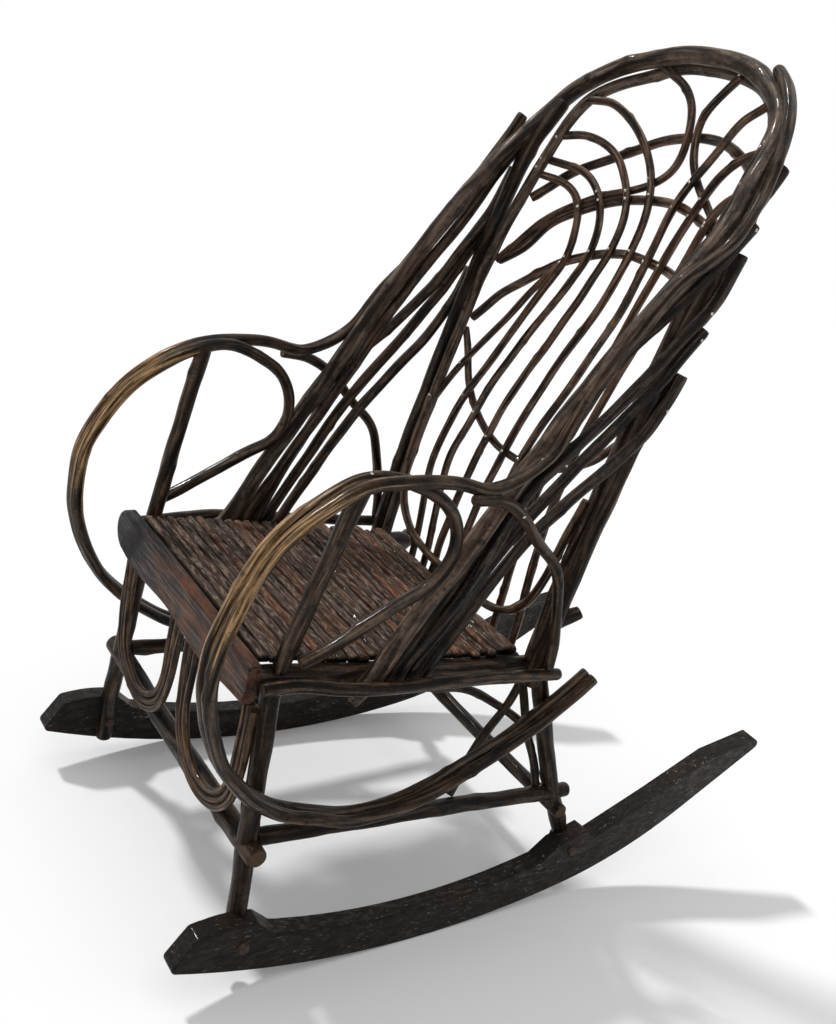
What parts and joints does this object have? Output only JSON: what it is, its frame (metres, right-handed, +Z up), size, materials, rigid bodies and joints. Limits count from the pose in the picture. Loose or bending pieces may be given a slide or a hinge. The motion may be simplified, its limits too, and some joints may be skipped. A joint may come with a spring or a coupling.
{
  "type": "bentwood stick rocking chair",
  "caption": "High-backed rustic rocking chair of bent varnished sticks with a hooped back, curled loop arms, a slatted seat and sawn rockers.",
  "frame": {"origin": "on the floor midway between the rockers, at the line on which they rest when the empty chair is at balance", "axes": "+X to the sitter's left, -Y the way the sitter faces, +Z up"},
  "size_m": [0.506, 1.0479, 1.1954],
  "materials": {
    "bolt_steel": "dull dark iron",
    "rocker_oak": "dark varnish over sawn oak, scuffed",
    "seat_slat": "worn dark varnish over bark",
    "front_board": "dark varnish over bark",
    "apron_stick": "dark varnish over peeled bark",
    "back_stick": "chestnut varnish over mottled bark",
    "arm_stick": "dark varnish worn through to tan",
    "hoop_stick": "grey-brown varnished bark",
    "fan_stick": "near-black varnish",
    "frame_stick": "near-black varnish"
  },
  "bodies": {
    "root": {"apron_loops_left": "apron_stick", "apron_loops_right": "apron_stick", "arch_hanging": "back_stick", "arch_lower": "back_stick", "arch_middle": "back_stick", "arch_upper": "back_stick", "arm_brace_left": "arm_stick", "arm_brace_right": "arm_stick", "arm_outer_rod_left": "arm_stick", "arm_outer_rod_right": "arm_stick", "arm_post_left": "arm_stick", "arm_post_right": "arm_stick", "arm_scroll_rod_left": "arm_stick", "arm_scroll_rod_right": "arm_stick", "back_branch": "back_stick", "back_post_left": "frame_stick", "back_post_right": "frame_stick", "back_rod_1": "back_stick", "back_rod_2": "back_stick", "back_rod_3": "back_stick", "back_rod_4": "back_stick", "back_rod_5": "back_stick", "back_rod_6": "back_stick", "back_rod_7": "back_stick", "bottom_loop": "back_stick", "clamp_rod_left": "arm_stick", "clamp_rod_right": "arm_stick", "cross_brace_left": "frame_stick", "cross_brace_right": "frame_stick", "curl_rod_far": "back_stick", "curl_rod_near": "back_stick", "fan_rod_front_left": "fan_stick", "fan_rod_front_right": "fan_stick", "fan_rods_left": "fan_stick", "fan_rods_right": "fan_stick", "front_board": "front_board", "front_leg_left": "frame_stick", "front_leg_right": "frame_stick", "front_stretcher": "frame_stick", "inner_hoop": "hoop_stick", "leg_strut_left": "frame_stick", "leg_strut_right": "frame_stick", "outer_hoop": "hoop_stick", "post_stubs": "frame_stick", "rear_leg_left": "frame_stick", "rear_leg_right": "frame_stick", "rear_stretcher": "frame_stick", "rocker_bolts": "bolt_steel", "rocker_left": "rocker_oak", "rocker_right": "rocker_oak", "seat_front_rail": "frame_stick", "seat_rail_left": "frame_stick", "seat_rail_right": "frame_stick", "seat_rear_rail": "frame_stick", "seat_slats": "seat_slat", "side_stretcher_left": "frame_stick", "side_stretcher_right": "frame_stick", "under_brace_left": "frame_stick", "under_brace_right": "frame_stick"}
  },
  "joints": []
}
